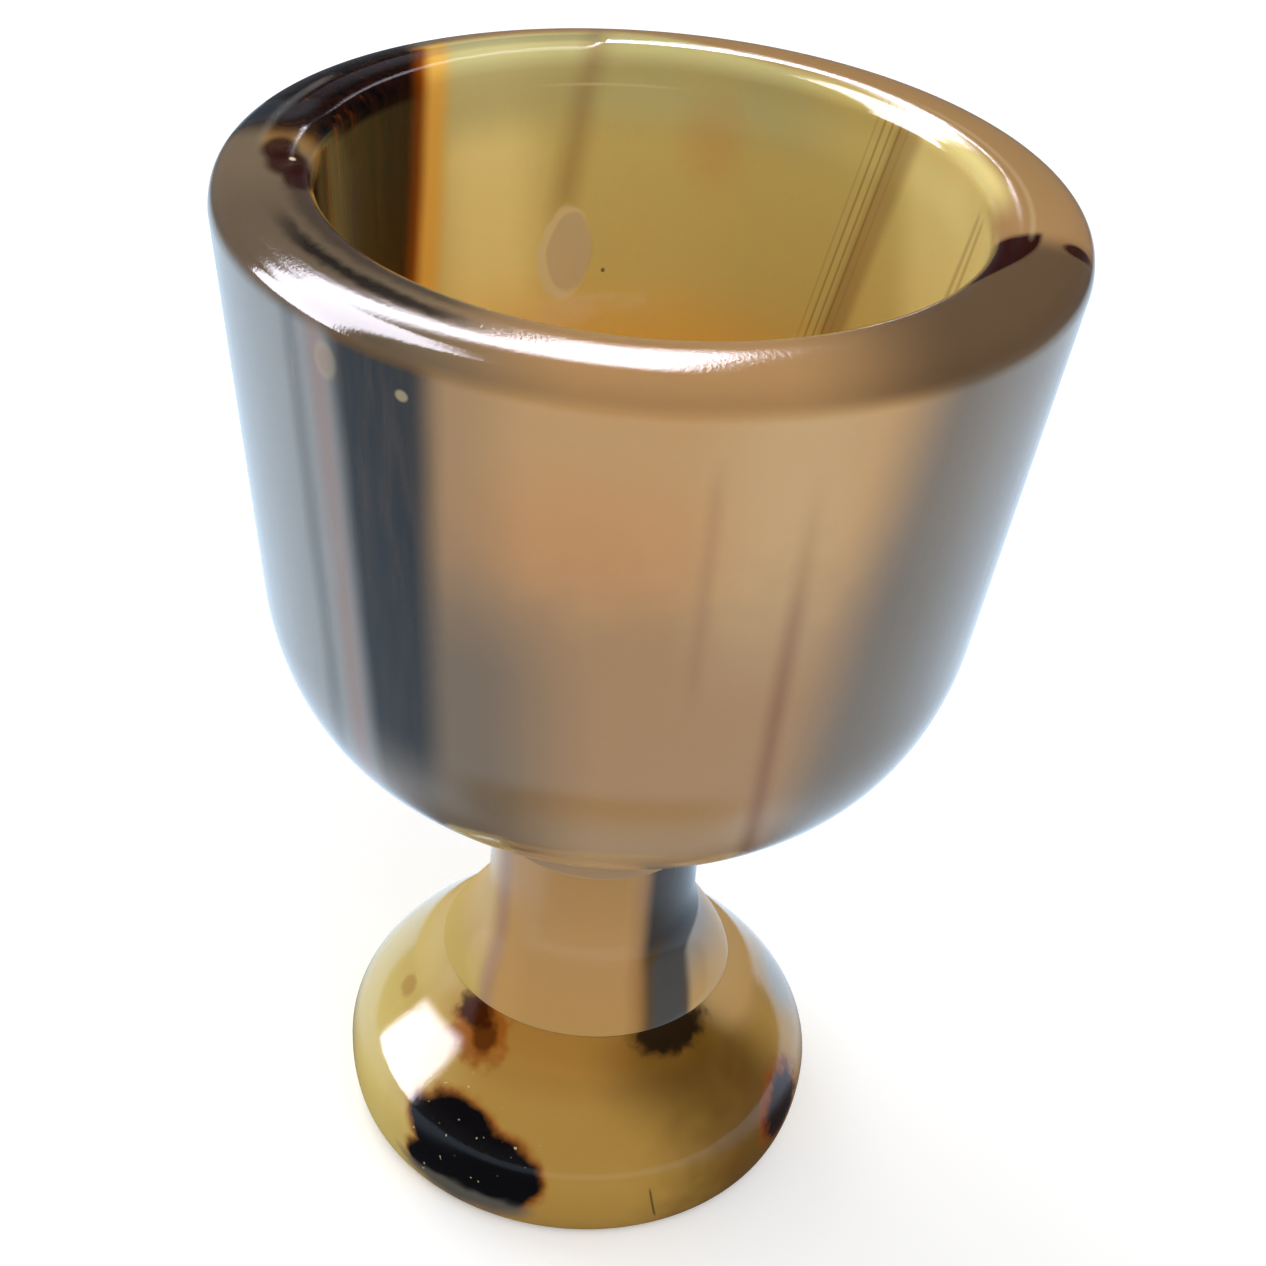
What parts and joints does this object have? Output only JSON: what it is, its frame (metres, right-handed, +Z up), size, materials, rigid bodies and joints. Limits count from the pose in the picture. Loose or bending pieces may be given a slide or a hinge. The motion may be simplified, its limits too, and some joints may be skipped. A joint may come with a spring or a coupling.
{
  "type": "drinking cup",
  "caption": "Small thick-walled stemmed drinking cup of polished horn: round-bottomed bowl, short waisted stem and domed foot, glued tenon joints.",
  "frame": {"origin": "centre of the flat ring that the foot stands on, on the turning axis", "axes": "+Z up the turning axis, from the foot to the mouth; +X to the right of the view in the picture, +Y away from the viewer"},
  "size_m": [0.045, 0.045, 0.0629],
  "materials": {
    "bowl_horn": "polished translucent horn, grey-brown to olive-gold with dark upright fibre bands",
    "stem_horn": "polished translucent horn, tan with one dark upright band",
    "foot_horn": "polished translucent horn, golden amber with black-brown patches"
  },
  "bodies": {
    "root": {"bowl": "bowl_horn", "stem": "stem_horn", "foot": "foot_horn"}
  },
  "joints": []
}
